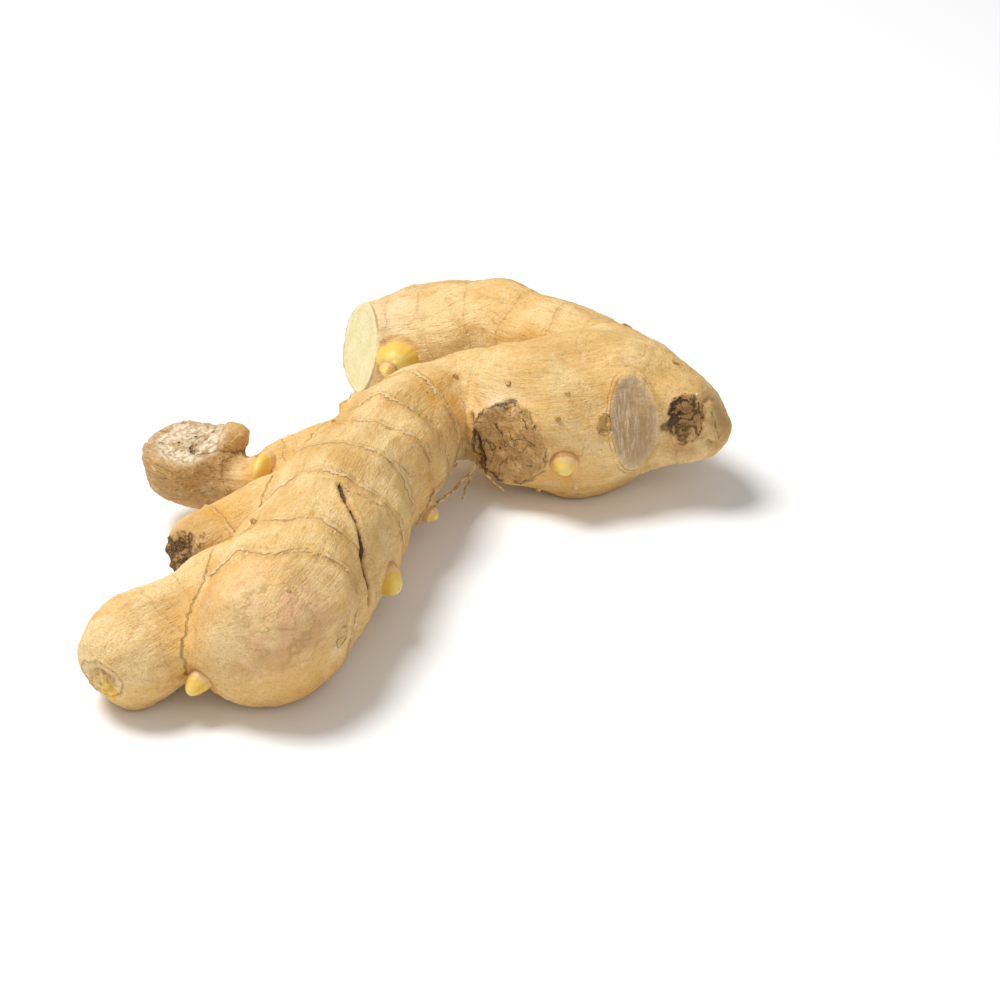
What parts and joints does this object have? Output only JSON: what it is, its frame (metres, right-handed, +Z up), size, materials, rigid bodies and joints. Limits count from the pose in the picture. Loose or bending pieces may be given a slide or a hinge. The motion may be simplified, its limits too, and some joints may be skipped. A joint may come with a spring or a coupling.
{
  "type": "ginger root",
  "caption": "Fresh ginger rhizome: a branching hand of plump ringed limbs with buds, corky scars and one flat knife cut, lying on its side.",
  "frame": {"origin": "on the surface it lies on, below the middle of its bounding box", "axes": "+Z up from that surface, +Y from the front lobe towards the back finger, +X towards the right lobe's tip"},
  "size_m": [0.133, 0.1574, 0.0355],
  "materials": {
    "ginger_skin": "matte",
    "ginger_bud": "satin",
    "root_fibre": "matte"
  },
  "bodies": {
    "root": {"ginger_rhizome": "ginger_skin"}
  },
  "joints": []
}
